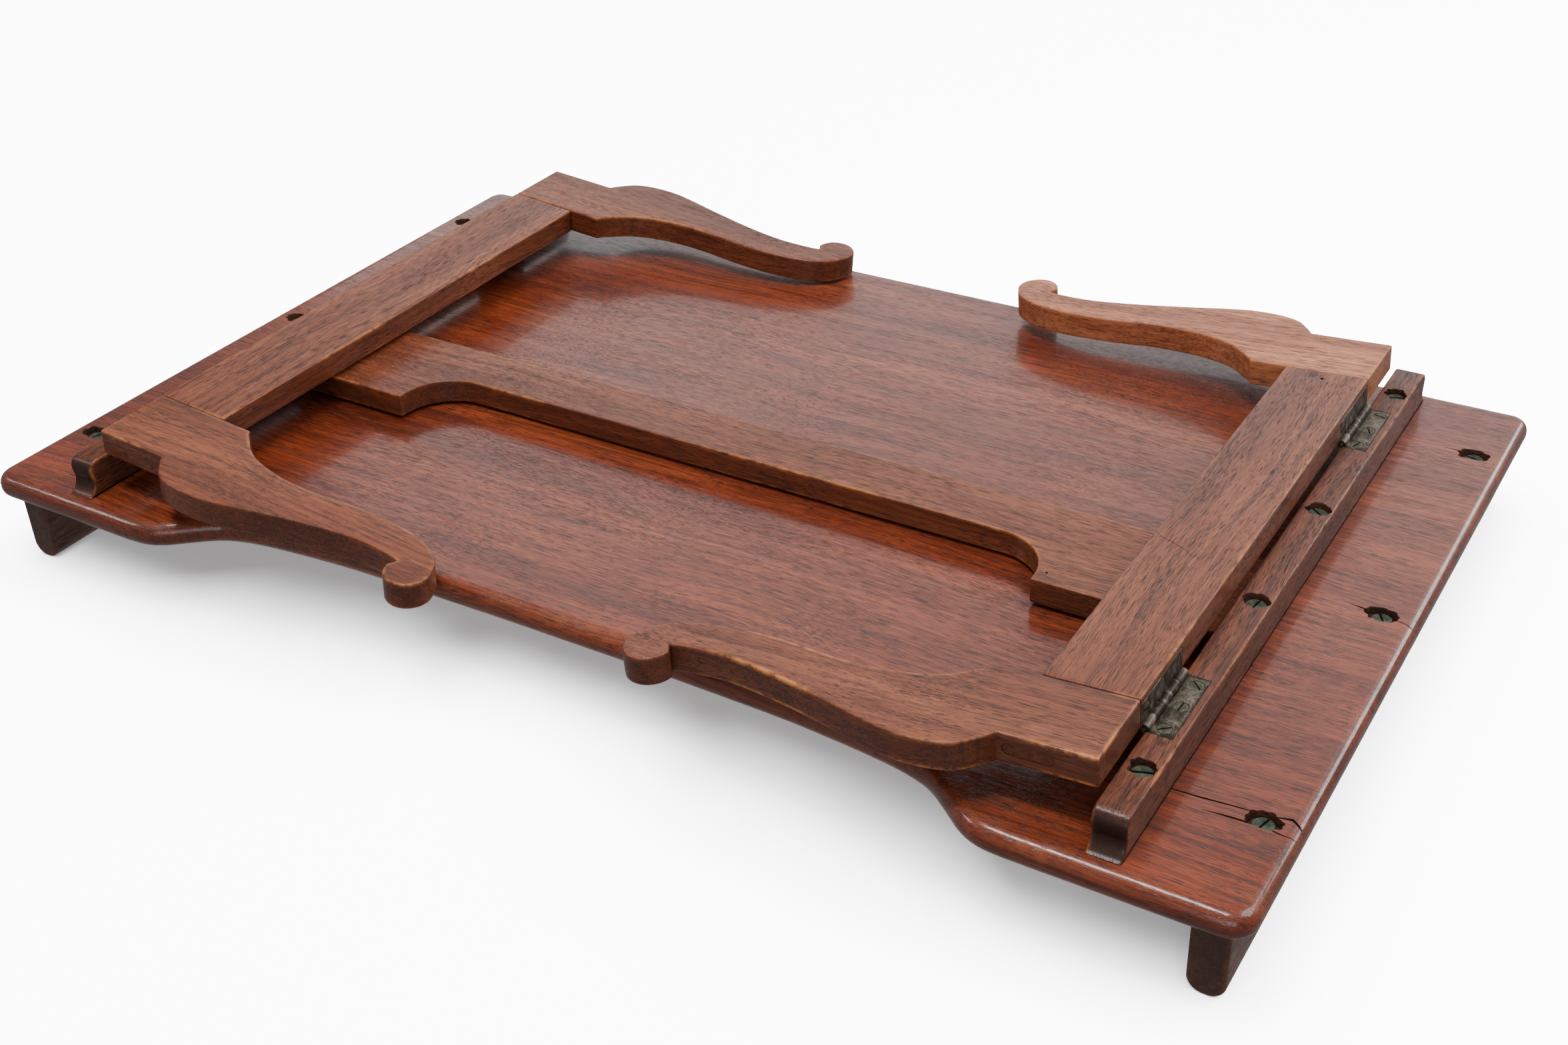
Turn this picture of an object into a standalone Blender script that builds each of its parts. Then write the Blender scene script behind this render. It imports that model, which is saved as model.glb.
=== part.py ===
"""A folding bed tray (overbed table), lying upside down with both leg frames folded in.

Metres, +Z up. X runs along the tray, the near long edge with the waist cut-out faces -Y,
and the origin is the middle of the footprint, on the surface that the tray lies on.
The tray rests on the crests of its two end rails. The undersides of the board and of
everything screwed to it face up.
"""

import math

import bmesh
import bpy
from mathutils import Matrix, Vector

MM = 0.001
GAP = 0.3 * MM                      # clearance between pieces that touch

# Board
TOP_LENGTH = 609.6 * MM             # 24 inches
TOP_DEPTH = 380.0 * MM              # nearly 15 inches
TOP_THICKNESS = 11.6 * MM
NEAR_CORNER = 10.5 * MM
FAR_CORNER = 8.5 * MM
TOP_EDGE_ROUND = 5.2 * MM
WAIST_CURVE = (                     # half of the waist cut-out, from the lobe to the middle
    (216.0 * MM, -190.0 * MM),
    (205.5 * MM, -189.0 * MM),
    (197.0 * MM, -185.3 * MM),
    (188.0 * MM, -178.3 * MM),
    (179.0 * MM, -171.6 * MM),
    (171.0 * MM, -168.0 * MM),
    (157.0 * MM, -164.8 * MM),
    (132.0 * MM, -162.0 * MM),
    (100.0 * MM, -160.0 * MM),
    (30.0 * MM, -158.8 * MM),
)

# End rails that stand on the board's face
RAIL_HEIGHT = 33.7 * MM
RAIL_THICKNESS = 14.5 * MM
RAIL_INSET = 8.3 * MM               # board end to rail face
RAIL_HALF_DEPTH = 182.0 * MM
RAIL_CREST_ROUND = 6.6 * MM

# Battens that carry the leg hinges
BATTEN_INNER_X = 243.3 * MM
BATTEN_WIDTH = 13.4 * MM
BATTEN_HEIGHT = 16.7 * MM
BATTEN_HALF_DEPTH = 175.0 * MM      # at the batten's top
BATTEN_NOSE = (                     # the moulded end, (out from the top's end, fall below the top)
    (0.0, 0.0),
    (2.6 * MM, 1.1 * MM),
    (4.2 * MM, 3.9 * MM),
    (4.0 * MM, 7.2 * MM),
    (3.5 * MM, 10.0 * MM),
    (4.4 * MM, 13.2 * MM),
    (6.3 * MM, 15.5 * MM),
    (8.0 * MM, 16.4 * MM),
)

# Butt hinges, 38 mm (1 1/2 inch)
HINGE_LENGTH = 38.0 * MM
LEAF_WIDTH = 10.4 * MM              # pin axis to leaf edge
LEAF_THICKNESS = 1.1 * MM
PIN_OFFSET = 0.8 * MM               # pin axis to the leaf's outer face
KNUCKLE_RADIUS = PIN_OFFSET + LEAF_THICKNESS
KNUCKLE_COUNT = 5
BORE_RADIUS = 1.05 * MM
PIN_RADIUS = 0.75 * MM
LEAF_SCREW_PITCH = 14.5 * MM
LEAF_SCREW_OUT = 6.3 * MM           # pin axis to the row of leaf screws
LEAF_SCREW_HEAD = 2.6 * MM
LEAF_SCREW_SHANK = 1.1 * MM
LEAF_SCREW_DEPTH = 6.5 * MM
HINGE_Y = 112.8 * MM

# Leg frames: a stretcher with a scrolled leg tenoned on each end
FRAME_THICKNESS = 12.6 * MM
STRETCHER_WIDTH = 37.7 * MM
JOINT_Y = 133.0 * MM                # stretcher ends and leg shoulders
BLOCK_DEPTH = 37.3 * MM             # leg block, along Y
BLOCK_LENGTH = 37.4 * MM            # leg block, hinge face to the outer step
INNER_STEP = 54.7 * MM              # hinge face to the inner step
FOOT_RADIUS = 10.1 * MM
FOOT_U = 181.6 * MM                 # hinge face to the scroll's middle
FOOT_V = 41.8 * MM                  # leg shoulder to the scroll's middle
FAR_SPLAY = {"left": 1.0, "right": 0.5}     # degrees that the far legs spread outward
LEFT_DROOP = math.radians(5.1)      # how far each folded frame hangs below level
RIGHT_DROOP = math.radians(3.7)
TENON_LENGTH = 20.0 * MM            # along X, with round ends
TENON_THICKNESS = 5.0 * MM
TENON_U = 26.0 * MM                 # hinge face to the tenon's middle
TENON_STOP = 8.0 * MM               # wood left beyond a tenon that stops inside the block

# Apron board, flat between the folded leg frames, hinged along its far edge
APRON_HALF_LENGTH = 242.6 * MM
APRON_FAR_Y = -2.8 * MM
APRON_END_DEPTH = 55.8 * MM
APRON_WAIST_DEPTH = 28.6 * MM
APRON_CURVE = 25.0 * MM
APRON_STEP_X = 165.0 * MM
APRON_THICKNESS = 11.4 * MM
APRON_HINGE_X = 150.0 * MM

# Wood screws, countersunk and slotted
SCREW_HEAD = 4.0 * MM
SCREW_SHANK = 1.9 * MM
SCREW_LENGTH = 21.0 * MM
SCREW_CONE = 2.4 * MM
RECESS_RADIUS = 5.2 * MM
RECESS_DEPTH = 2.0 * MM
BATTEN_SCREW_X = 250.5 * MM
RAIL_SCREW_X = 290.5 * MM
BATTEN_SCREW_YS = (-151.0 * MM, -36.5 * MM, 39.0 * MM, 151.0 * MM)
RAIL_SCREW_YS = (-138.0 * MM, 1.0 * MM, 142.0 * MM)

# Heights that follow
BOARD_FACE_Z = RAIL_HEIGHT
UNDERSIDE_Z = RAIL_HEIGHT + TOP_THICKNESS
BATTEN_TOP_Z = UNDERSIDE_Z + BATTEN_HEIGHT
LEG_AXIS_X = BATTEN_INNER_X - GAP
LEG_AXIS_Z = BATTEN_TOP_Z + PIN_OFFSET
APRON_AXIS_Y = APRON_FAR_Y + PIN_OFFSET
APRON_AXIS_Z = UNDERSIDE_Z + PIN_OFFSET
RAIL_X = TOP_LENGTH / 2 - RAIL_INSET - RAIL_THICKNESS / 2


# ---------------------------------------------------------------- materials

def material(name, colour, roughness, metallic=0.0):
    made = bpy.data.materials.new(name)
    made.use_nodes = True
    shader = made.node_tree.nodes["Principled BSDF"]
    shader.inputs["Base Color"].default_value = (*colour, 1.0)
    shader.inputs["Roughness"].default_value = roughness
    shader.inputs["Metallic"].default_value = metallic
    return made


# ---------------------------------------------------------------- mesh helpers

def clear_scene():
    for thing in list(bpy.data.objects):
        bpy.data.objects.remove(thing)


def link(name, mesh, coat=None):
    made = bpy.data.objects.new(name, mesh)
    bpy.context.scene.collection.objects.link(made)
    if coat:
        mesh.materials.clear()
        mesh.materials.append(coat)
    return made


def mesh_from(bm, name):
    mesh = bpy.data.meshes.new(name)
    bmesh.ops.recalc_face_normals(bm, faces=bm.faces)
    bm.to_mesh(mesh)
    bm.free()
    return mesh


def prism(outline, low, high, axis="Z"):
    """Extrude a closed outline along an axis: points are (x, y), (y, z) for X or (x, z) for Y."""
    place = {
        "Z": lambda a, b, c: (a, b, c),
        "X": lambda a, b, c: (c, a, b),
        "Y": lambda a, b, c: (a, c, b),
    }[axis]
    bm = bmesh.new()
    ends = [[bm.verts.new(place(a, b, c)) for a, b in outline] for c in (low, high)]
    bm.faces.new(ends[0])
    bm.faces.new(ends[1])
    count = len(outline)
    for i in range(count):
        j = (i + 1) % count
        bm.faces.new((ends[0][i], ends[0][j], ends[1][j], ends[1][i]))
    return link("prism", mesh_from(bm, "prism"))


def box(xs, ys, zs):
    return prism([(xs[0], ys[0]), (xs[1], ys[0]), (xs[1], ys[1]), (xs[0], ys[1])], *zs)


def rod(radius, start, end, sides=12, end_radius=None):
    """A cylinder or cone between two points."""
    start, end = Vector(start), Vector(end)
    along = end - start
    turn = along.to_track_quat("Z", "Y").to_matrix().to_4x4()
    bm = bmesh.new()
    bmesh.ops.create_cone(
        bm, cap_ends=True, segments=sides, radius1=radius,
        radius2=radius if end_radius is None else end_radius, depth=along.length,
        matrix=Matrix.Translation((start + end) / 2) @ turn)
    return link("rod", mesh_from(bm, "rod"))


def bevel(target, width, segments, limit=40):
    made = target.modifiers.new("round", "BEVEL")
    made.width = width
    made.segments = segments
    made.limit_method = "ANGLE"
    made.angle_limit = math.radians(limit)
    return target


def combine(base, joined=(), removed=()):
    """Join and cut solids with exact Booleans, and keep the result as the base's own mesh."""
    tools = [(tool, "UNION") for tool in joined] + [(tool, "DIFFERENCE") for tool in removed]
    for tool, operation in tools:
        step = base.modifiers.new(operation.lower(), "BOOLEAN")
        step.operation = operation
        step.object = tool
        step.solver = "EXACT"
    bpy.context.view_layer.update()
    view = base.evaluated_get(bpy.context.evaluated_depsgraph_get())
    mesh = bpy.data.meshes.new_from_object(view)
    base.modifiers.clear()
    base.data = mesh
    for tool, _ in tools:
        bpy.data.objects.remove(tool)
    return base


def finish(made, name, coat, parent=None, sharp=40):
    made.name = name
    made.data.name = name
    made.data.materials.clear()
    made.data.materials.append(coat)
    made.data.shade_smooth()
    made.data.set_sharp_from_angle(angle=math.radians(sharp))
    made.parent = parent
    return made


# ---------------------------------------------------------------- outlines

def arc(centre, radius, start, end, steps):
    """Points round an arc, angles in degrees."""
    angles = [math.radians(start + (end - start) * i / steps) for i in range(steps + 1)]
    return [(centre[0] + radius * math.cos(a), centre[1] + radius * math.sin(a)) for a in angles]


def smooth(points, steps):
    """A Catmull-Rom curve through the points, ends included."""
    guides = [points[0]] + list(points) + [points[-1]]
    made = []
    for a, b, c, d in zip(guides, guides[1:], guides[2:], guides[3:]):
        for i in range(steps):
            t = i / steps
            made.append(tuple(
                0.5 * (2 * q + (r - p) * t + (2 * p - 5 * q + 4 * r - s) * t * t
                       + (3 * q - p - 3 * r + s) * t ** 3)
                for p, q, r, s in zip(a, b, c, d)))
    return made + [points[-1]]


def mirrored(half):
    """Close an outline that is drawn on +X only, from the near middle to the far middle."""
    return half + [(-x, y) for x, y in reversed(half)]


def slot(centre, length, width, steps=6):
    """A rounded slot's outline, long along its first coordinate."""
    reach = (length - width) / 2
    right = arc((centre[0] + reach, centre[1]), width / 2, -90, 90, steps)
    left = arc((centre[0] - reach, centre[1]), width / 2, 90, 270, steps)
    return right + left


def board_outline():
    half_x, half_y = TOP_LENGTH / 2, TOP_DEPTH / 2
    waist = smooth(WAIST_CURVE, 2)
    near_corner = arc((half_x - NEAR_CORNER, NEAR_CORNER - half_y), NEAR_CORNER, -90, 0, 6)
    far_corner = arc((half_x - FAR_CORNER, half_y - FAR_CORNER), FAR_CORNER, 0, 90, 6)
    return mirrored(list(reversed(waist)) + near_corner + far_corner)


def leg_outline(splay):
    """A scrolled leg: u runs from the hinge face to the foot, v outward from the shoulder."""
    outer = smooth([
        (BLOCK_LENGTH + 0.6 * MM, BLOCK_DEPTH + 0.4 * MM),
        (41.5 * MM, 42.3 * MM),
        (48.4 * MM, 48.8 * MM),
        (60.0 * MM, 52.1 * MM),
        (76.0 * MM, 51.8 * MM),
        (100.0 * MM, 46.0 * MM),
        (126.0 * MM, 40.0 * MM),
        (150.0 * MM, 36.6 * MM),
        (168.0 * MM, 37.6 * MM),
        (173.8 * MM, 38.8 * MM),
    ], 3)
    scroll = arc((FOOT_U, FOOT_V), FOOT_RADIUS, 176, -28, 12)
    inner = smooth([
        (188.4 * MM, 32.2 * MM),
        (183.5 * MM, 27.2 * MM),
        (174.0 * MM, 22.2 * MM),
        (158.0 * MM, 18.8 * MM),
        (136.0 * MM, 18.2 * MM),
        (108.0 * MM, 20.4 * MM),
        (86.0 * MM, 18.6 * MM),
        (69.0 * MM, 12.9 * MM),
        (INNER_STEP + 1.8 * MM, 2.4 * MM),
    ], 3)
    block = [(INNER_STEP, 0.0), (0.0, 0.0), (0.0, BLOCK_DEPTH), (BLOCK_LENGTH, BLOCK_DEPTH)]
    lean = math.tan(math.radians(splay))
    return [(u, v + lean * max(0.0, u - BLOCK_LENGTH)) for u, v in block + outer + scroll + inner]


def batten_outline():
    """The batten from the side, (y, z): a straight top and moulded ends that run out at the board."""
    far = [(BATTEN_HALF_DEPTH + out, BATTEN_TOP_Z - fall) for out, fall in smooth(BATTEN_NOSE, 2)]
    return far + [(-y, z) for y, z in reversed(far)]


def apron_outline():
    """The apron board from above: wide ends, quarter rounds and a narrower middle."""
    near_y = APRON_FAR_Y - APRON_END_DEPTH
    waist_y = APRON_FAR_Y - APRON_WAIST_DEPTH
    curve = arc((APRON_STEP_X - APRON_CURVE, waist_y - APRON_CURVE), APRON_CURVE, 90, 0, 8)
    half = curve + [(APRON_STEP_X, near_y), (APRON_HALF_LENGTH, near_y),
                    (APRON_HALF_LENGTH, APRON_FAR_Y)]
    return mirrored(half)


# ---------------------------------------------------------------- shared hardware

def slot_cutter(radius, top, turn):
    """The driver slot of a screw head whose flat is at height top."""
    half, deep = 0.13 * radius, 0.22 * radius
    tool = box((-1.2 * radius, 1.2 * radius), (-half, half), (top - deep, top + radius))
    tool.data.transform(Matrix.Rotation(math.radians(turn), 4, "Z"))
    return tool


def wood_screw_mesh():
    """A countersunk wood screw, head flat at z = 0, pointing down."""
    profile = [
        (SCREW_HEAD, 0.0),
        (SCREW_HEAD, -0.4 * MM),
        (SCREW_SHANK, -SCREW_CONE),
        (SCREW_SHANK, -0.8 * SCREW_LENGTH),
        (0.4 * MM, -SCREW_LENGTH),
    ]
    sides = 12
    bm = bmesh.new()
    rings = []
    for radius, z in profile:
        turns = [2 * math.pi * i / sides for i in range(sides)]
        rings.append([bm.verts.new((radius * math.cos(a), radius * math.sin(a), z)) for a in turns])
    for upper, lower in zip(rings, rings[1:]):
        for i in range(sides):
            j = (i + 1) % sides
            bm.faces.new((upper[i], upper[j], lower[j], lower[i]))
    bm.faces.new(rings[0])
    bm.faces.new(rings[-1])
    screw = link("screw", mesh_from(bm, "screw"))
    combine(screw, removed=[slot_cutter(SCREW_HEAD, 0, 30)])
    mesh = screw.data
    bpy.data.objects.remove(screw)
    return mesh


def knuckle_spans(owner):
    """The stretches along the pin that one leaf's knuckles take, leaf 0 or leaf 1."""
    pitch = HINGE_LENGTH / KNUCKLE_COUNT
    low = -HINGE_LENGTH / 2
    return [(low + i * pitch, low + (i + 1) * pitch) for i in range(owner, KNUCKLE_COUNT, 2)]


def leaf_mesh(owner):
    """One hinge leaf with its knuckles and its three screws, pin along Y through the origin.

    Leaf 0 lies below the pin and leaf 1 above it, both towards +X, as in a closed hinge.
    """
    side = 1 if owner else -1
    half = HINGE_LENGTH / 2
    wrap = math.degrees(math.asin(PIN_OFFSET / KNUCKLE_RADIUS))
    section = arc((0, 0), KNUCKLE_RADIUS, -90, -360 - wrap, 11)
    section += [(LEAF_WIDTH, -PIN_OFFSET), (LEAF_WIDTH, -KNUCKLE_RADIUS)]
    plate = prism([(x, -side * z) for x, z in section], -half, half, "Y")
    joined, removed = [], []
    for low, high in knuckle_spans(1 - owner):
        removed.append(rod(KNUCKLE_RADIUS + GAP, (0, low - GAP / 2, 0), (0, high + GAP / 2, 0), 12))
    removed.append(rod(BORE_RADIUS, (0, -half - MM, 0), (0, half + MM, 0), 8))
    for i in (-1, 0, 1):
        spot = Vector((LEAF_SCREW_OUT, i * LEAF_SCREW_PITCH, 0))
        start = spot + Vector((0, 0, side * (PIN_OFFSET + 0.5 * LEAF_THICKNESS)))
        end = spot + Vector((0, 0, side * (PIN_OFFSET + LEAF_SCREW_DEPTH)))
        joined.append(rod(LEAF_SCREW_SHANK, start, end, 6, 0.5 * LEAF_SCREW_SHANK))
        cut = slot_cutter(0.9 * LEAF_SCREW_HEAD, 0, 20 + 35 * i)
        cut.data.transform(Matrix.Rotation(math.pi if owner else 0.0, 4, "X"))
        cut.data.transform(Matrix.Translation(spot + Vector((0, 0, side * PIN_OFFSET))))
        removed.append(cut)
    combine(plate, joined, removed)
    mesh = plate.data
    bpy.data.objects.remove(plate)
    return mesh


def leaf_cutters(owner, placement):
    """What a piece of wood loses to let in one leaf, its knuckles and its screws."""
    side = 1 if owner else -1
    half = HINGE_LENGTH / 2 + GAP
    radius = KNUCKLE_RADIUS + GAP
    section = arc((0, 0), radius, 90, 270, 6)
    section += [(LEAF_WIDTH + GAP, -radius), (LEAF_WIDTH + GAP, radius)]
    tools = [prism(section, -half, half, "Y")]
    for i in (-1, 0, 1):
        spot = Vector((LEAF_SCREW_OUT, i * LEAF_SCREW_PITCH, 0))
        tools.append(rod(LEAF_SCREW_SHANK + 1.5 * GAP, spot + Vector((0, 0, side * PIN_OFFSET)),
                         spot + Vector((0, 0, side * (PIN_OFFSET + LEAF_SCREW_DEPTH + GAP))), 6))
    for tool in tools:
        tool.data.transform(placement)
    return tools


def screw_cutters(x, y, face_z):
    """The recess and the pilot hole of one wood screw let into a face."""
    head_z = face_z - RECESS_DEPTH
    return [
        rod(RECESS_RADIUS, (x, y, head_z - 0.7 * MM), (x, y, face_z + MM), 12),
        rod(SCREW_HEAD + GAP, (x, y, head_z - 0.6 * MM), (x, y, head_z - SCREW_CONE - GAP), 12,
            SCREW_SHANK + GAP),
        rod(SCREW_SHANK + GAP, (x, y, head_z - SCREW_CONE + 0.5 * MM),
            (x, y, head_z - SCREW_LENGTH - GAP), 12),
    ]


# ---------------------------------------------------------------- pieces

def build():
    clear_scene()
    mahogany = material("polished_mahogany", (0.24, 0.085, 0.045), 0.35)
    dark = material("dark_mahogany", (0.10, 0.04, 0.025), 0.4)
    brass = material("aged_brass", (0.30, 0.26, 0.19), 0.45, 0.9)
    steel = material("steel_pin", (0.30, 0.28, 0.26), 0.4, 1.0)
    green = material("tarnished_brass_screw", (0.20, 0.26, 0.19), 0.6, 0.6)

    axes = {}
    for side, name, droop in ((-1, "left", LEFT_DROOP), (1, "right", RIGHT_DROOP)):
        axis = bpy.data.objects.new(f"{name}_leg_axis", None)
        axis.location = (side * LEG_AXIS_X, 0, LEG_AXIS_Z)
        axis.rotation_euler = (0, -side * droop, 0)
        bpy.context.scene.collection.objects.link(axis)
        axes[side] = axis
    apron_axis = bpy.data.objects.new("apron_axis", None)
    apron_axis.location = (0, APRON_AXIS_Y, APRON_AXIS_Z)
    bpy.context.scene.collection.objects.link(apron_axis)

    # Where each hinge sits: pin along the axis, leaf 0 on the fixed wood, leaf 1 on the moving wood
    leg_hinges = []
    for side, name, droop in ((-1, "left", LEFT_DROOP), (1, "right", RIGHT_DROOP)):
        for end, place in ((-1, "near"), (1, "far")):
            spin = Matrix.Rotation(math.pi if side < 0 else 0.0, 4, "Z")
            at = Matrix.Translation((side * LEG_AXIS_X, end * HINGE_Y, LEG_AXIS_Z)) @ spin
            opened = Matrix.Rotation(-math.pi / 2, 4, "Y")
            leg_hinges.append((side, end, f"{name}_{place}", at, opened, droop))
    apron_hinges = []
    for side, name in ((-1, "left"), (1, "right")):
        at = Matrix.Translation((side * APRON_HINGE_X, APRON_AXIS_Y, APRON_AXIS_Z))
        apron_hinges.append((f"{name}_apron", at @ Matrix.Rotation(-math.pi / 2, 4, "Z")))

    # Board
    board = bevel(prism(board_outline(), BOARD_FACE_Z, UNDERSIDE_Z), TOP_EDGE_ROUND, 3)
    tools = []
    for side in (-1, 1):
        for y in RAIL_SCREW_YS:
            tools += screw_cutters(side * RAIL_SCREW_X, y, UNDERSIDE_Z)
        for y in BATTEN_SCREW_YS:
            tip_z = BATTEN_TOP_Z - RECESS_DEPTH - SCREW_LENGTH - GAP
            tools.append(rod(SCREW_SHANK + GAP, (side * BATTEN_SCREW_X, y, UNDERSIDE_Z + MM),
                             (side * BATTEN_SCREW_X, y, tip_z)))
    for _, at in apron_hinges:
        tools += leaf_cutters(0, at)
    finish(combine(board, removed=tools), "tabletop", mahogany)

    # End rails
    for side, name in ((-1, "left"), (1, "right")):
        half = RAIL_THICKNESS / 2
        land = half - RAIL_CREST_ROUND
        low = arc((side * RAIL_X + land, RAIL_CREST_ROUND), RAIL_CREST_ROUND, -90, 0, 5)
        low = [(2 * side * RAIL_X - x, z) for x, z in reversed(low)] + low
        top = BOARD_FACE_Z - GAP
        section = low + [(side * RAIL_X + half, top), (side * RAIL_X - half, top)]
        rail = prism(section, -RAIL_HALF_DEPTH, RAIL_HALF_DEPTH, "Y")
        bevel(rail, 1.2 * MM, 2)
        holes = []
        for y in RAIL_SCREW_YS:
            tip_z = UNDERSIDE_Z - RECESS_DEPTH - SCREW_LENGTH - GAP
            holes.append(rod(SCREW_SHANK + GAP, (side * RAIL_SCREW_X, y, BOARD_FACE_Z + MM),
                             (side * RAIL_SCREW_X, y, tip_z)))
        finish(combine(rail, removed=holes), f"{name}_gallery_rail", mahogany)

    # Battens
    for side, name in ((-1, "left"), (1, "right")):
        spots = sorted((side * BATTEN_INNER_X, side * (BATTEN_INNER_X + BATTEN_WIDTH)))
        batten = bevel(prism(batten_outline(), *spots, "X"), 0.7 * MM, 1)
        tools = []
        for y in BATTEN_SCREW_YS:
            tools += screw_cutters(side * BATTEN_SCREW_X, y, BATTEN_TOP_Z)
        for hinge_side, _, _, at, _, _ in leg_hinges:
            if hinge_side == side:
                tools += leaf_cutters(0, at)
        finish(combine(batten, removed=tools), f"{name}_batten", dark)

    # Leg frames, drawn flat about their pin axis and hung from the drooping axis
    low, high = PIN_OFFSET, PIN_OFFSET + FRAME_THICKNESS
    middle = (low + high) / 2
    for side, name in ((-1, "left"), (1, "right")):
        inward = -side
        face = inward * PIN_OFFSET

        def frame_x(u):
            return face + inward * u

        spots = sorted((frame_x(0), frame_x(STRETCHER_WIDTH)))
        reach = JOINT_Y - GAP / 2
        stretcher = bevel(box(spots, (-reach, reach), (low, high)), 0.7 * MM, 1)
        through = JOINT_Y + BLOCK_DEPTH - 0.2 * MM
        stopped = JOINT_Y + BLOCK_DEPTH - TENON_STOP
        tenon = prism(slot((frame_x(TENON_U), middle), TENON_LENGTH, TENON_THICKNESS),
                      -through if name == "right" else -stopped, stopped, "Y")
        tools = []
        for hinge_side, end, _, _, opened, _ in leg_hinges:
            if hinge_side == side:
                spin = Matrix.Rotation(math.pi if side < 0 else 0.0, 4, "Z")
                tools += leaf_cutters(1, Matrix.Translation((0, end * HINGE_Y, 0)) @ spin @ opened)
        finish(combine(stretcher, [tenon], tools), f"{name}_stretcher", mahogany, axes[side])

        for end, place in ((-1, "near"), (1, "far")):
            shoulder = JOINT_Y + GAP / 2
            splay = FAR_SPLAY[name] if end > 0 else 0.0
            outline = [(frame_x(u), end * (shoulder + v)) for u, v in leg_outline(splay)]
            leg = bevel(prism(outline, low, high), 0.7 * MM, 1, 60)
            through = name == "right" and end < 0
            bottom = JOINT_Y + BLOCK_DEPTH + (MM if through else GAP - TENON_STOP)
            hole = prism(slot((frame_x(TENON_U), middle), TENON_LENGTH + 2 * GAP,
                              TENON_THICKNESS + 2 * GAP),
                         *sorted((end * (shoulder - MM), end * bottom)), "Y")
            finish(combine(leg, removed=[hole]), f"{name}_{place}_leg", mahogany, axes[side])

    # Apron, drawn about its own pin axis
    low = PIN_OFFSET
    outline = [(x, y - APRON_AXIS_Y) for x, y in apron_outline()]
    apron = bevel(prism(outline, low, low + APRON_THICKNESS), 0.5 * MM, 1)
    tools = []
    for _, at in apron_hinges:
        tools += leaf_cutters(1, Matrix.Translation((0, -APRON_AXIS_Y, -APRON_AXIS_Z)) @ at)
    finish(combine(apron, removed=tools), "apron", mahogany, apron_axis)

    # Hinges
    leaves = [leaf_mesh(0), leaf_mesh(1)]
    pin = rod(PIN_RADIUS, (0, -HINGE_LENGTH / 2, 0), (0, HINGE_LENGTH / 2, 0), 12)
    pin_mesh = pin.data
    bpy.data.objects.remove(pin)

    def place_piece(name, mesh, coat, world):
        made = link(name, mesh.copy())
        finish(made, name, coat)
        made.matrix_world = world
        return made

    for side, _, name, at, opened, droop in leg_hinges:
        hang = Matrix.Rotation(-droop, 4, "Y")
        place_piece(f"{name}_batten_leaf", leaves[0], brass, at)
        place_piece(f"{name}_frame_leaf", leaves[1], brass, at @ hang @ opened)
        place_piece(f"{name}_hinge_pin", pin_mesh, steel, at)
    for name, at in apron_hinges:
        place_piece(f"{name}_board_leaf", leaves[0], brass, at)
        place_piece(f"{name}_hinge_leaf", leaves[1], brass, at)
        place_piece(f"{name}_hinge_pin", pin_mesh, steel, at)

    # Screws
    screw = wood_screw_mesh()
    for side, name in ((-1, "left"), (1, "right")):
        for i, y in enumerate(BATTEN_SCREW_YS):
            spot = (side * BATTEN_SCREW_X, y, BATTEN_TOP_Z - RECESS_DEPTH)
            place_piece(f"{name}_batten_screw_{i + 1}", screw, green, Matrix.Translation(spot))
        for i, y in enumerate(RAIL_SCREW_YS):
            spot = (side * RAIL_SCREW_X, y, UNDERSIDE_Z - RECESS_DEPTH)
            place_piece(f"{name}_rail_screw_{i + 1}", screw, green, Matrix.Translation(spot))


build()
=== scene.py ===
import math

import bmesh
import bpy
from mathutils import Matrix, Vector, noise


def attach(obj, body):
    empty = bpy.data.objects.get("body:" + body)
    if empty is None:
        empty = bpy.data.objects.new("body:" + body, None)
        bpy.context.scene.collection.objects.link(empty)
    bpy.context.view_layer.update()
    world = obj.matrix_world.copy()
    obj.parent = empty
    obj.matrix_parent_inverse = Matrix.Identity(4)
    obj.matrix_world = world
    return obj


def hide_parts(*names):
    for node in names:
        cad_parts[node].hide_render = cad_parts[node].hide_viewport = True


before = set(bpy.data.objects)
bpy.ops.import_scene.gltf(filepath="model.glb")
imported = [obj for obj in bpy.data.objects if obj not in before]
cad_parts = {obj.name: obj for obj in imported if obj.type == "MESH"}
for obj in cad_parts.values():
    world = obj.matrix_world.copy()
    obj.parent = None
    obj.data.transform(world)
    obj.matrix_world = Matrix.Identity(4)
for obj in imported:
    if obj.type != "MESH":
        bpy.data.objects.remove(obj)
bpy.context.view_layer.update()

# A folding bed tray, upside down with both leg frames folded in. Each finer piece below is drawn
# at the size and place of the CAD node that it stands for. Metres, +Z up, the waist at -Y.
MM = 0.001
GAP = 0.3 * MM                      # clearance between pieces that touch

# Board, end rails and battens, at the CAD's sizes
TOP_LENGTH = 609.6 * MM
TOP_DEPTH = 380.0 * MM
TOP_THICKNESS = 11.6 * MM
NEAR_CORNER = 10.5 * MM
FAR_CORNER = 8.5 * MM
WAIST_CURVE = (
    (216.0 * MM, -190.0 * MM),
    (205.5 * MM, -189.0 * MM),
    (197.0 * MM, -185.3 * MM),
    (188.0 * MM, -178.3 * MM),
    (179.0 * MM, -171.6 * MM),
    (171.0 * MM, -168.0 * MM),
    (157.0 * MM, -164.8 * MM),
    (132.0 * MM, -162.0 * MM),
    (100.0 * MM, -160.0 * MM),
    (30.0 * MM, -158.8 * MM),
)
RAIL_HEIGHT = 33.7 * MM
RAIL_THICKNESS = 14.5 * MM
RAIL_X = TOP_LENGTH / 2 - 8.3 * MM - RAIL_THICKNESS / 2
RAIL_HALF_DEPTH = 182.0 * MM
RAIL_CREST_ROUND = 6.6 * MM
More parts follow.
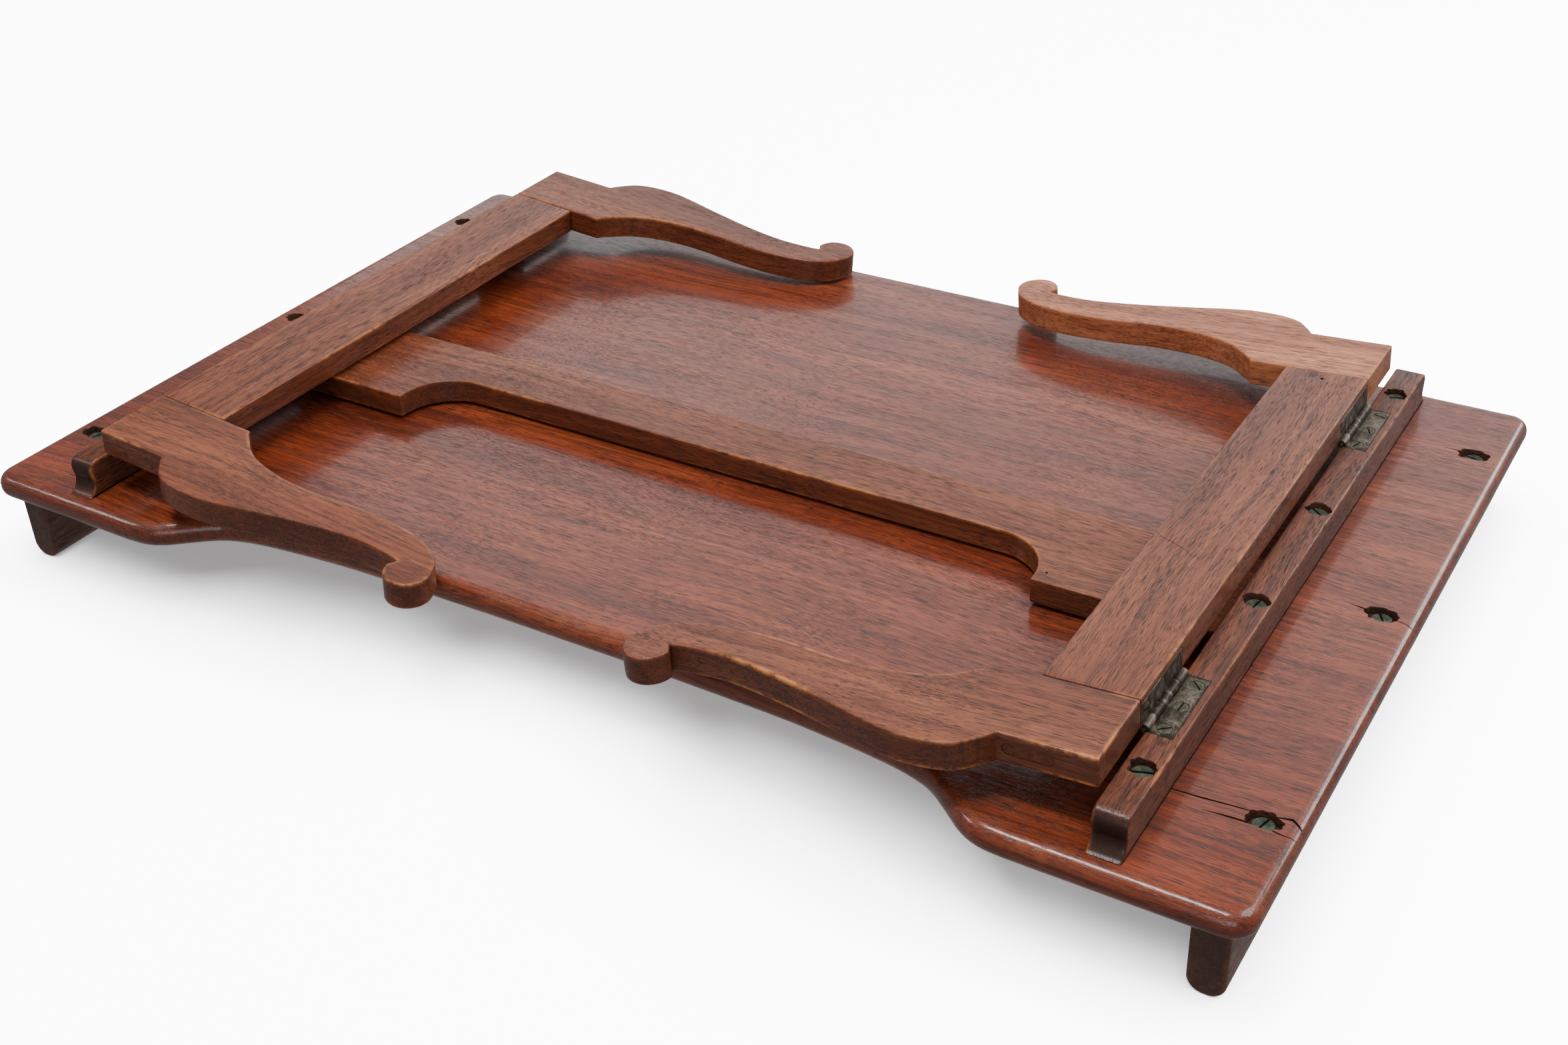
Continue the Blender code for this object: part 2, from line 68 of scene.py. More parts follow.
UNDERSIDE_Z = RAIL_HEIGHT + TOP_THICKNESS
BATTEN_INNER_X = 243.3 * MM
BATTEN_WIDTH = 13.4 * MM
BATTEN_HEIGHT = 16.7 * MM
BATTEN_HALF_DEPTH = 175.0 * MM
BATTEN_NOSE = (
    (0.0, 0.0),
    (2.6 * MM, 1.1 * MM),
    (4.2 * MM, 3.9 * MM),
    (4.0 * MM, 7.2 * MM),
    (3.5 * MM, 10.0 * MM),
    (4.4 * MM, 13.2 * MM),
    (6.3 * MM, 15.5 * MM),
    (8.0 * MM, 16.4 * MM),
)
BATTEN_TOP_Z = UNDERSIDE_Z + BATTEN_HEIGHT

# Butt hinges
HINGE_LENGTH = 38.0 * MM
LEAF_WIDTH = 10.4 * MM
LEAF_THICKNESS = 1.1 * MM
PIN_OFFSET = 0.8 * MM
KNUCKLE_RADIUS = PIN_OFFSET + LEAF_THICKNESS
KNUCKLE_COUNT = 5
BORE_RADIUS = 1.05 * MM
LEAF_SCREW_PITCH = 14.5 * MM
LEAF_SCREW_OUT = 6.3 * MM
LEAF_SCREW_HEAD = 2.7 * MM
LEAF_SCREW_SINK = LEAF_SCREW_HEAD + 0.3 * MM
LEAF_SCREW_HOLE = 2.0 * MM

# Leg frames
HINGE_Y = 112.8 * MM
LEG_AXIS_X = BATTEN_INNER_X - GAP
LEG_AXIS_Z = BATTEN_TOP_Z + PIN_OFFSET
FRAME_THICKNESS = 12.6 * MM
STRETCHER_WIDTH = 37.7 * MM
JOINT_Y = 133.0 * MM
BLOCK_DEPTH = 37.3 * MM
BLOCK_LENGTH = 37.4 * MM
INNER_STEP = 54.7 * MM
FOOT_RADIUS = 10.1 * MM
FOOT_U = 181.6 * MM
FOOT_V = 41.8 * MM
TENON_LENGTH = 20.0 * MM
TENON_THICKNESS = 5.0 * MM
TENON_U = 26.0 * MM
TENON_STOP = 8.0 * MM               # wood left beyond a tenon that stops inside the block
TENON_PLAY = 0.6 * GAP
FAR_SPLAY = {"left": 1.0, "right": 0.5}     # degrees
# side along X, name, and how far the frame droops from its hinges
SIDES = ((-1, "left", math.radians(5.1)), (1, "right", math.radians(3.7)))

# Apron
APRON_HALF_LENGTH = 242.6 * MM
APRON_FAR_Y = -2.8 * MM
APRON_END_DEPTH = 55.8 * MM
APRON_WAIST_DEPTH = 28.6 * MM
APRON_CURVE = 25.0 * MM
APRON_STEP_X = 165.0 * MM
APRON_THICKNESS = 11.4 * MM
APRON_HINGE_X = 150.0 * MM
APRON_AXIS_Y = APRON_FAR_Y + PIN_OFFSET
APRON_AXIS_Z = UNDERSIDE_Z + PIN_OFFSET

# Wood screws
SCREW_HEAD = 4.0 * MM
SCREW_HOLE_RADIUS = 2.2 * MM
RECESS_DEPTH = 2.0 * MM
BATTEN_SCREW_X = 250.5 * MM
RAIL_SCREW_X = 290.5 * MM
BATTEN_SCREW_YS = (-151.0 * MM, -36.5 * MM, 39.0 * MM, 151.0 * MM)
RAIL_SCREW_YS = (-138.0 * MM, 1.0 * MM, 142.0 * MM)

# How far the arrises are rounded, and how far wear fades out beyond them
BOARD_ROUND = 5.3 * MM
BOARD_FADE = 3 * MM
RAIL_ROUND = 1.2 * MM
BATTEN_ROUND = 0.8 * MM
STRETCHER_ROUND = 0.8 * MM
LEG_ROUND = 0.9 * MM
APRON_ROUND = 0.6 * MM
WEAR_FADE = 1.1 * MM
OUTLINE_CORNER = 0.7 * MM           # corners of the stretchers, leg blocks and apron, from above
CORNER_STEPS = 3
SHARPEST_MITRE = 0.35               # keeps a sharp corner of an inset outline from spiking
SHARP_ANGLE = math.radians(26)      # an edge that turns more than this is shaded sharp

# Marks of age
SPLIT_DEPTH = 1.5 * MM
HAIRLINE_DEPTH = 0.4 * MM
STRETCHER_NAIL = (-19.6 * MM, 126.1 * MM)       # on the right stretcher, from the hinge line
STRETCHER_NAIL_RADIUS = 0.9 * MM
APRON_NAIL = (169.2 * MM, -51.9 * MM)
APRON_NAIL_RADIUS = 0.6 * MM
# Splits in the board's underside, (x, y, width) in millimetres
BOARD_SPLITS = (
    ((250, -137.9, 0.35), (267, -137.1, 0.8), (281, -135.8, 0.6), (286, -135.6, 0.4)),
    ((294, -134.6, 0.5), (299, -133.3, 1.2), (303, -135.5, 0.9), (306, -136.8, 1.2)),
    ((270, -142.8, 0.2), (280, -142.0, 0.9), (292.7, -141.6, 0.8), (299, -142.6, 0.5),
     (303, -142.0, 0.3)),
    ((276, 2.9, 0.1), (282, 2.0, 0.9), (287, 1.2, 0.3)),
    ((294, 0.2, 0.3), (300, -1.0, 0.45), (306, -2.0, 0.6)),
    ((277, 143.0, 0.1), (283, 142.8, 0.7), (287, 142.6, 0.3)),
)
# A hairline across the right stretcher's top, (x, y, width) in millimetres from the hinge line
STRETCHER_HAIRLINE = (
    (-38.5, -25.5, 0.12), (-34, -29.0, 0.22), (-29.8, -30.5, 0.25), (-25.2, -33.0, 0.25),
    (-21.8, -34.8, 0.22), (-18, -38.5, 0.1),
)

# ---------------------------------------------------------------- node helpers


class Nodes:
    """Short names for building one material's node tree."""

    def __init__(self, name):
        self.material = bpy.data.materials.new(name)
        self.material.use_nodes = True
        self.tree = self.material.node_tree
        self.shader = self.tree.nodes["Principled BSDF"]
        coordinates = self.node("ShaderNodeTexCoord")
        self.object = coordinates.outputs["Object"]
        self.normal = coordinates.outputs["Normal"]

    def node(self, kind, settings=None, **inputs):
        made = self.tree.nodes.new(kind)
        for key, value in (settings or {}).items():
            setattr(made, key, value)
        for key, value in inputs.items():
            self.put(made.inputs[key.replace("_", " ")], value)
        return made

    def put(self, socket, value):
        if isinstance(value, bpy.types.NodeSocket):
            self.tree.links.new(value, socket)
        else:
            socket.default_value = value

    def noise(self, vector, scale, detail, rough=0.5):
        made = self.node("ShaderNodeTexNoise", Vector=vector, Scale=scale, Detail=detail,
                         Roughness=rough)
        return made.outputs["Fac"]

    def ramp(self, value, *stops):
        """A colour ramp over stops of (position, colour or grey)."""
        made = self.node("ShaderNodeValToRGB", Fac=value)
        points = made.color_ramp.elements
        while len(points) < len(stops):
            points.new(0.5)
        for point, (at, colour) in zip(points, stops):
            point.position = at
            point.color = (*colour, 1) if isinstance(colour, tuple) else (colour,) * 3 + (1,)
        return made.outputs["Color"]

    def mix(self, factor, a, b):
        made = self.tree.nodes.new("ShaderNodeMix")
        made.data_type = "RGBA"
        self.put(made.inputs[0], factor)
        for socket, value in ((made.inputs[6], a), (made.inputs[7], b)):
            self.put(socket, (*value, 1) if isinstance(value, tuple) else value)
        return made.outputs[2]

    def math(self, operation, a, b=0.5, clamp=False):
        made = self.node("ShaderNodeMath", {"operation": operation, "use_clamp": clamp})
        self.put(made.inputs[0], a)
        self.put(made.inputs[1], b)
        return made.outputs[0]

    def attribute(self, name):
        return self.node("ShaderNodeAttribute", {"attribute_name": name}).outputs["Fac"]

    def bump(self, height, strength, distance, normal=None):
        made = self.node("ShaderNodeBump", Height=height, Strength=strength, Distance=distance)
        if normal:
            self.put(made.inputs["Normal"], normal)
        return made.outputs["Normal"]

    def set(self, **inputs):
        """Fill the shader's sockets, named with _ for a space, and return the material."""
        for key, value in inputs.items():
            if isinstance(value, tuple) and len(value) == 3:
                value = (*value, 1)
            self.put(self.shader.inputs[key.replace("_", " ")], value)
        return self.material


def darker(colour, share):
    return tuple(share * c for c in colour)


def wood(name, along, tone, dark, pale, rough=0.34, coat=0.10, wear=1.0, grime=0.25, sheen=0.36,
         sides=0.30, ends=0.0):
    """Polished mahogany with its grain along one axis, worn where the wear attribute says.

    sides is the share of painted shade on the upright faces; ends darkens the faces that face Y.
    """
    n = Nodes(name)
    # The grain wanders a few millimetres off its axis
    wander = n.node("ShaderNodeTexNoise", Vector=n.object, Scale=7.0, Detail=1.0)
    shift = n.node("ShaderNodeVectorMath", {"operation": "SCALE"}, Scale=0.016)
    n.put(shift.inputs[0], wander.outputs["Color"])
    bent = n.node("ShaderNodeVectorMath", {"operation": "ADD"})
    n.put(bent.inputs[0], n.object)
    n.put(bent.inputs[1], shift.outputs[0])

    def grained(length, width):
        """Coordinates in which a noise of scale 1 has features of this length and width."""
        long, thin = 0.6 / length, 0.6 / width
        scale = {"X": (long, thin, thin), "Y": (thin, long, thin)}[along]
        return n.node("ShaderNodeMapping", Vector=bent.outputs[0], Scale=scale).outputs["Vector"]

    # Bands, streaks, fibres and pores, from the broadest to the finest
    band = n.noise(grained(0.22, 14 * MM), 1, 3, 0.55)
    streak = n.noise(grained(0.07, 1.3 * MM), 1, 4, 0.6)
    fibre = n.noise(grained(0.014, 0.35 * MM), 1, 3, 0.6)
    colour = n.ramp(band, (0.22, dark), (0.46, tone), (0.78, pale))
    colour = n.mix(n.ramp(streak, (0.42, 0.0), (0.66, 0.85)), colour, dark)
    colour = n.mix(n.ramp(fibre, (0.50, 0.0), (0.72, 0.55)), colour, pale)
    pores = n.noise(grained(0.0050, 0.15 * MM), 1, 1.5, 0.5)
    patchy = n.noise(grained(0.05, 4 * MM), 1, 2, 0.5)
    pore = n.ramp(n.math("ADD", pores, n.math("MULTIPLY", patchy, 0.26)), (0.680, 0.0), (0.73, 1.0))
    colour = n.mix(n.math("MULTIPLY", pore, 0.9), colour, darker(dark, 0.22))

    # Dirt in patches, painted shade on the upright faces, and darker Y-facing faces
    dirt = n.ramp(n.noise(n.object, 30, 6, 0.72), (0.50, 0.0), (0.78, 1.0))
    colour = n.mix(n.math("MULTIPLY", dirt, grime), colour, darker(dark, 0.4))
    normal = n.node("ShaderNodeSeparateXYZ", Vector=n.normal)
    level = n.math("POWER", n.math("ABSOLUTE", normal.outputs["Z"]), 2.0)
    upright = n.math("SUBTRACT", 1.0, level)
    colour = n.mix(n.math("MULTIPLY", upright, sides), colour, darker(dark, 0.55))
    facing = n.math("ABSOLUTE", normal.outputs["Y"])
    colour = n.mix(n.math("MULTIPLY", facing, ends), colour, darker(dark, 0.25))

    # Rubbed arrises, in some places only
    patch = n.noise(n.object, 140, 5, 0.7)
    places = n.ramp(n.noise(n.object, 19, 2, 0.5), (0.45, 0.03), (0.62, 1.0))
    worn = n.math("MULTIPLY", n.attribute("wear"), n.ramp(patch, (0.40, 0.0), (0.60, 1.0)))
    worn = n.math("MULTIPLY", n.math("MULTIPLY", worn, places), wear, clamp=True)
    colour = n.mix(worn, colour, RUBBED)

    # Polish: dull where it is smeared, worn or open-pored, over a slightly rippled surface
    smear = n.noise(n.object, 16, 4, 0.6)
    gloss = n.math("ADD", n.math("MULTIPLY", smear, 0.10), rough - 0.05)
    gloss = n.math("ADD", gloss, n.math("MULTIPLY", pore, 0.25))
    gloss = n.math("ADD", gloss, n.math("MULTIPLY", worn, 0.15), clamp=True)
    ripple = n.bump(n.noise(n.object, 20, 1), 0.06, 1.0 * MM)
    grain = n.bump(n.math("MULTIPLY", pore, -1.0), 0.30, 0.10 * MM, ripple)
    return n.set(Base_Color=colour, Roughness=gloss, Normal=grain, Coat_Weight=coat,
                 Coat_Roughness=0.12, Coat_Normal=grain, Specular_IOR_Level=sheen)


def metal(name, colour, dark, pale, rough, metallic):
    """Dull metal in patches of three shades, brighter where the wear attribute says."""
    n = Nodes(name)
    patch = n.noise(n.object, 260, 4, 0.6)
    shade = n.ramp(patch, (0.36, dark), (0.52, colour), (0.72, pale))
    grit = n.noise(n.object, 1040, 3, 0.6)
    worn = n.math("MULTIPLY", n.attribute("wear"), n.ramp(grit, (0.35, 0.2), (0.6, 1.0)))
    shade = n.mix(n.math("MULTIPLY", worn, 0.7), shade, pale)
    gloss = n.math("ADD", n.math("MULTIPLY", grit, 0.3), rough - 0.15, clamp=True)
    return n.set(Base_Color=shade, Roughness=gloss, Metallic=metallic, Specular_IOR_Level=0.2,
                 Normal=n.bump(grit, 0.15, 0.06 * MM))


TONE, DARK, PALE = (0.165, 0.039, 0.014), (0.062, 0.013, 0.005), (0.280, 0.083, 0.032)
RUBBED = (0.44, 0.15, 0.042)
board_wood = wood("board_mahogany", "X", (0.165, 0.026, 0.008), (0.055, 0.008, 0.003),
                  (0.290, 0.062, 0.021), 0.30, 0.60, wear=0.12, sheen=0.25, sides=0.20)
long_wood = wood("mahogany_along_x", "X", TONE, DARK, PALE, wear=0.65)
# The near-right leg: more wear, and more painted shade on its upright faces
worn_wood = wood("worn_mahogany_along_x", "X", TONE, DARK, PALE, wear=1.6, sides=0.45)
# A paler copy of the leg wood for the far-right leg: painted light, for the reflection that brightens
# that leg
painted_light_wood = wood("painted_light_mahogany_along_x", "X", (0.43, 0.135, 0.058), (0.18, 0.046, 0.019),
                 (0.64, 0.250, 0.120), wear=0.65)
cross_wood = wood("mahogany_along_y", "Y", TONE, DARK, PALE, wear=0.8)
rail_wood = wood("rail_mahogany", "Y", (0.12, 0.055, 0.040), DARK, (0.20, 0.09, 0.065), 0.42,
                 wear=0.1, ends=0.4)
batten_wood = wood("batten_mahogany", "Y", (0.120, 0.034, 0.016), (0.040, 0.012, 0.007),
                   (0.20, 0.058, 0.026), 0.36, 0.12, grime=0.6, sheen=0.25, sides=0.15, ends=0.9)
# Dark wood for screw recesses, splits, holes and let-ins: painted shade where these hollows fall dark,
# with patches of dirt
recess_shade_wood = wood("recess_dirt_and_painted_shade", "X", (0.040, 0.015, 0.008), (0.016, 0.007, 0.005),
                   (0.09, 0.030, 0.015), 0.6, 0.0, wear=0.0, grime=0.8, sheen=0.1, sides=0.0)
brass = metal("aged_brass", (0.034, 0.026, 0.017), (0.015, 0.011, 0.007), (0.17, 0.14, 0.105),
              0.42, 0.35)
screw_brass = metal("hinge_screw_brass", (0.040, 0.036, 0.024), (0.016, 0.014, 0.010),
                    (0.11, 0.10, 0.07), 0.50, 0.2)
green_brass = metal("verdigris_brass", (0.032, 0.040, 0.026), (0.012, 0.015, 0.010),
                    (0.08, 0.10, 0.065), 0.55, 0.15)
# Near-black for screw slots and the rings round sunk hinge screws: dirt, and painted shade in these
# narrow gaps
slot_dirt_and_shade = metal("slot_dirt_and_shade", (0.012, 0.011, 0.009), (0.006, 0.005, 0.004), (0.03, 0.028, 0.02),
                  0.8, 0.0)
pin_steel = metal("pin_steel", (0.16, 0.14, 0.12), (0.06, 0.05, 0.04), (0.3, 0.28, 0.24), 0.45, 0.8)

# ---------------------------------------------------------------- outlines


def arc(centre, radius, start, end, steps):
    """Points round an arc, angles in degrees."""
    angles = [math.radians(start + (end - start) * i / steps) for i in range(steps + 1)]
    return [(centre[0] + radius * math.cos(a), centre[1] + radius * math.sin(a)) for a in angles]


def smooth(points, steps):
    """A Catmull-Rom curve through the points, ends included."""
    guides = [points[0]] + list(points) + [points[-1]]
    made = []
    for a, b, c, d in zip(guides, guides[1:], guides[2:], guides[3:]):
        for i in range(steps):
            t = i / steps
            made.append(tuple(
                0.5 * (2 * q + (r - p) * t + (2 * p - 5 * q + 4 * r - s) * t * t
                       + (3 * q - p - 3 * r + s) * t ** 3)
                for p, q, r, s in zip(a, b, c, d)))
    return made + [points[-1]]


def mirrored(half):
    """The right half of an outline with its mirror image in X."""
    return half + [(-x, *rest) for x, *rest in reversed(half)]


def slot(centre, length, width):
    """The section of a round-ended tenon or mortise."""
    reach = (length - width) / 2
    right = arc((centre[0] + reach, centre[1]), width / 2, -90, 90, 8)
    left = arc((centre[0] - reach, centre[1]), width / 2, 90, 270, 8)
    return right + left


def rectangle(xs, ys):
    (x0, x1), (y0, y1) = sorted(xs), sorted(ys)
    return [(x, y, OUTLINE_CORNER) for x, y in ((x1, y0), (x1, y1), (x0, y1), (x0, y0))]


def board_outline():
    """The board from above: round corners, and the waist cut out of the near side."""
    half_x, half_y = TOP_LENGTH / 2, TOP_DEPTH / 2
    waist = smooth(WAIST_CURVE, 6)
    near_corner = arc((half_x - NEAR_CORNER, NEAR_CORNER - half_y), NEAR_CORNER, -90, 0, 12)
    far_corner = arc((half_x - FAR_CORNER, half_y - FAR_CORNER), FAR_CORNER, 0, 90, 12)
    return mirrored(list(reversed(waist)) + near_corner + far_corner)


def leg_outline(splay):
    """A scroll leg, u from the hinge line and v from the joint: block, knee, shank and foot."""
    outer = smooth([
        (BLOCK_LENGTH + 0.6 * MM, BLOCK_DEPTH + 0.4 * MM),
        (41.5 * MM, 42.3 * MM),
        (48.4 * MM, 48.8 * MM),
        (60.0 * MM, 52.1 * MM),
        (76.0 * MM, 51.8 * MM),
        (100.0 * MM, 46.0 * MM),
        (126.0 * MM, 40.0 * MM),
        (150.0 * MM, 36.6 * MM),
        (168.0 * MM, 37.6 * MM),
        (173.8 * MM, 38.8 * MM),
    ], 6)
    scroll = arc((FOOT_U, FOOT_V), FOOT_RADIUS, 176, -28, 24)
    inner = smooth([
        (188.4 * MM, 32.2 * MM),
        (183.5 * MM, 27.2 * MM),
        (174.0 * MM, 22.2 * MM),
        (158.0 * MM, 18.8 * MM),
        (136.0 * MM, 18.2 * MM),
        (108.0 * MM, 20.4 * MM),
        (86.0 * MM, 18.6 * MM),
        (69.0 * MM, 12.9 * MM),
        (INNER_STEP + 1.8 * MM, 2.4 * MM),
    ], 6)
    block = [(INNER_STEP, 0.0), (0.0, 0.0, OUTLINE_CORNER), (0.0, BLOCK_DEPTH, OUTLINE_CORNER),
             (BLOCK_LENGTH, BLOCK_DEPTH)]
    lean = math.tan(math.radians(splay))
    return [(u, v + lean * max(0.0, u - BLOCK_LENGTH), *rest)
            for u, v, *rest in block + outer + scroll + inner]


def batten_outline():
    """A batten from the side, (y, z), with its nose at both ends."""
    far = [(BATTEN_HALF_DEPTH + out, BATTEN_TOP_Z - fall) for out, fall in smooth(BATTEN_NOSE, 4)]
    return far + [(-y, z) for y, z in reversed(far)]


def apron_outline():
    """The apron from above: wide ends, quarter rounds and a narrower middle."""
    near_y = APRON_FAR_Y - APRON_END_DEPTH
    waist_y = APRON_FAR_Y - APRON_WAIST_DEPTH
    curve = arc((APRON_STEP_X - APRON_CURVE, waist_y - APRON_CURVE), APRON_CURVE, 90, 0, 16)
    corners = ((APRON_STEP_X, near_y), (APRON_HALF_LENGTH, near_y), (APRON_HALF_LENGTH, APRON_FAR_Y))
    return mirrored(curve + [(x, y, OUTLINE_CORNER) for x, y in corners])


# ---------------------------------------------------------------- solids


def area(points):
    """Positive for a counter-clockwise outline."""
    return 0.5 * sum(a[0] * b[1] - b[0] * a[1] for a, b in zip(points, points[1:] + points[:1]))


def inset(points, distance):
    """Move a counter-clockwise outline inward; a point with a third number is a rounded corner."""
    made = []
    count = len(points)
    for i in range(count):
        here = Vector(points[i][:2])
        before = (here - Vector(points[i - 1][:2])).normalized()
        after = (Vector(points[(i + 1) % count][:2]) - here).normalized()
        normal = Vector((-before.y, before.x)) + Vector((-after.y, after.x))
        length = max(normal.length_squared / 2, SHARPEST_MITRE)
        here = here + normal * (distance / length)
        if len(points[i]) == 2:
            made.append(here)
            continue
        turn = math.atan2(before.cross(after), before.dot(after))
        radius = max(points[i][2] - math.copysign(distance, turn), 0.02 * MM)
        reach = radius * math.tan(abs(turn) / 2)
        start, end = here - before * reach, here + after * reach
        for k in range(CORNER_STEPS + 1):
            t = k / CORNER_STEPS
            made.append(start * (1 - t) ** 2 + here * 2 * t * (1 - t) + end * t ** 2)
    return made


def place(axis):
    """Stands an outline's (a, b) and its level c along an axis."""
    return {
        "Z": lambda a, b, c: Vector((a, b, c)),
        "X": lambda a, b, c: Vector((c, a, b)),
        "Y": lambda a, b, c: Vector((a, c, b)),
    }[axis]


def new_object(bm, name):
    mesh = bpy.data.meshes.new(name)
    bmesh.ops.recalc_face_normals(bm, faces=bm.faces)
    bm.to_mesh(mesh)
    bm.free()
    made = bpy.data.objects.new(name, mesh)
    bpy.context.scene.collection.objects.link(made)
    return made


def slab(name, outline, low, high, arris, axis="Z", steps=4, fade=WEAR_FADE):
    """A board with rounded arrises: rings of the outline, (inset, level, wear), from low to high."""
    if area(outline) < 0:
        outline = list(reversed(outline))
    rings = []
    for level, turn in ((low, 1), (high, -1)):
        side = [(arris + fade, level, 0.0), (arris, level, 0.7)]
        for k in range(1, steps):
            a = math.pi / 2 * k / steps
            side.append((arris * (1 - math.sin(a)), level + turn * arris * (1 - math.cos(a)), 1.0))
        side.append((0.0, level + turn * arris, 0.7))
        if high - low > 2 * (arris + fade) + MM:
            side.append((0.0, level + turn * (arris + fade), 0.0))
        rings.append(side)
    rings = rings[0] + list(reversed(rings[1]))
    bm = bmesh.new()
    layer = bm.verts.layers.float.new("wear")
    spot = place(axis)
    made = []
    for distance, level, worn in rings:
        row = [bm.verts.new(spot(a, b, level)) for a, b in inset(outline, distance)]
        for vert in row:
            vert[layer] = worn
        made.append(row)
    count = len(made[0])
    for upper, lower in zip(made, made[1:]):
        for i in range(count):
            j = (i + 1) % count
            bm.faces.new((upper[i], upper[j], lower[j], lower[i]))
    bm.faces.new(made[0])
    bm.faces.new(made[-1])
    return new_object(bm, name)


def prism(outline, low, high, axis="Z"):
    """A plain extrusion, for cutters, tenons and hinge plates."""
    spot = place(axis)
    bm = bmesh.new()
    ends = [[bm.verts.new(spot(a, b, c)) for a, b in outline] for c in (low, high)]
    bm.faces.new(ends[0])
    bm.faces.new(ends[1])
    count = len(outline)
    for i in range(count):
        j = (i + 1) % count
        bm.faces.new((ends[0][i], ends[0][j], ends[1][j], ends[1][i]))
    return new_object(bm, "tool")


def box(xs, ys, zs):
    return prism([(xs[0], ys[0]), (xs[1], ys[0]), (xs[1], ys[1]), (xs[0], ys[1])], *zs)


def lathe(name, profile, sides, wobble=0.0, seed=0.0, squeeze=1.0):
    """Turn a closed profile of (radius, z, wear) about Z, uneven by wobble of its radius."""
    bm = bmesh.new()
    layer = bm.verts.layers.float.new("wear")
    rings = []
    for radius, z, worn in profile:
        ring = []
        for i in range(sides):
            a = 2 * math.pi * i / sides
            spread = 1 + wobble * noise.noise(Vector((2.2 * math.cos(a), 2.2 * math.sin(a), seed)))
            x, y = radius * spread * math.cos(a), radius * spread * squeeze * math.sin(a)
            vert = bm.verts.new((x, y, z))
            vert[layer] = worn
            ring.append(vert)
        rings.append(ring)
    for upper, lower in zip(rings, rings[1:]):
        for i in range(sides):
            j = (i + 1) % sides
            bm.faces.new((upper[i], upper[j], lower[j], lower[i]))
    bm.faces.new(rings[0])
    bm.faces.new(rings[-1])
    return new_object(bm, name)


def rod(radius, start, end, sides=20):
    start, end = Vector(start), Vector(end)
    along = end - start
    made = lathe("tool", [(radius, 0, 0), (radius, along.length, 0)], sides)
    made.data.transform(Matrix.Translation(start) @ along.to_track_quat("Z", "Y").to_matrix().to_4x4())
    return made


def combine(base, joined=(), removed=()):
    """Join and cut, keeping each tool's own material on the faces it leaves."""
    tools = [(tool, "UNION") for tool in joined] + [(tool, "DIFFERENCE") for tool in removed]
    for tool, operation in tools:
        step = base.modifiers.new(operation.lower(), "BOOLEAN")
        step.operation = operation
        step.object = tool
        step.solver = "EXACT"
        step.material_mode = "TRANSFER"
    bpy.context.view_layer.update()
    view = base.evaluated_get(bpy.context.evaluated_depsgraph_get())
    mesh = bpy.data.meshes.new_from_object(view)
    base.modifiers.clear()
    base.data = mesh
    for tool, _ in tools:
        bpy.data.objects.remove(tool)
    return base


def coat(made, material):
    made.data.materials.clear()
    made.data.materials.append(material)
    return made


def ready(made, body, node, world=Matrix.Identity(4)):
    """Shade a piece, stand it for its CAD node and hand it to its body."""
    made.data.shade_smooth()
    made.data.set_sharp_from_angle(angle=SHARP_ANGLE)
    made.matrix_world = world
    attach(made, body)
    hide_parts(node)
    return made


# ---------------------------------------------------------------- hardware


def knuckle_spans(owner):
    """Where along the pin the knuckles of leaf 0 or leaf 1 lie."""
    pitch = HINGE_LENGTH / KNUCKLE_COUNT
    low = -HINGE_LENGTH / 2
    return [(low + i * pitch, low + (i + 1) * pitch) for i in range(owner, KNUCKLE_COUNT, 2)]


def slot_tool(radius, turn):
    """The driver slot of a screw head whose flat is at z = 0, turned by some degrees."""
    half, deep = 0.12 * radius, 0.26 * radius
    tool = box((-1.2 * radius, 1.2 * radius), (-half, half), (-deep, radius))
    tool.data.transform(Matrix.Rotation(math.radians(turn), 4, "Z"))
    return coat(tool, slot_dirt_and_shade)


def leaf_screw(turn):
    """A countersunk hinge screw."""
    profile = [(0.6 * LEAF_SCREW_HEAD, 0.02 * MM, 0.3), (0.9 * LEAF_SCREW_HEAD, -0.04 * MM, 1),
               (LEAF_SCREW_HEAD, -0.14 * MM, 1), (1.75 * MM, -0.75 * MM, 0), (1.0 * MM, -2.0 * MM, 0),
               (0.6 * MM, -6.3 * MM, 0)]
    head = coat(lathe("head", profile, 24), screw_brass)
    return combine(head, removed=[slot_tool(LEAF_SCREW_HEAD, turn)])


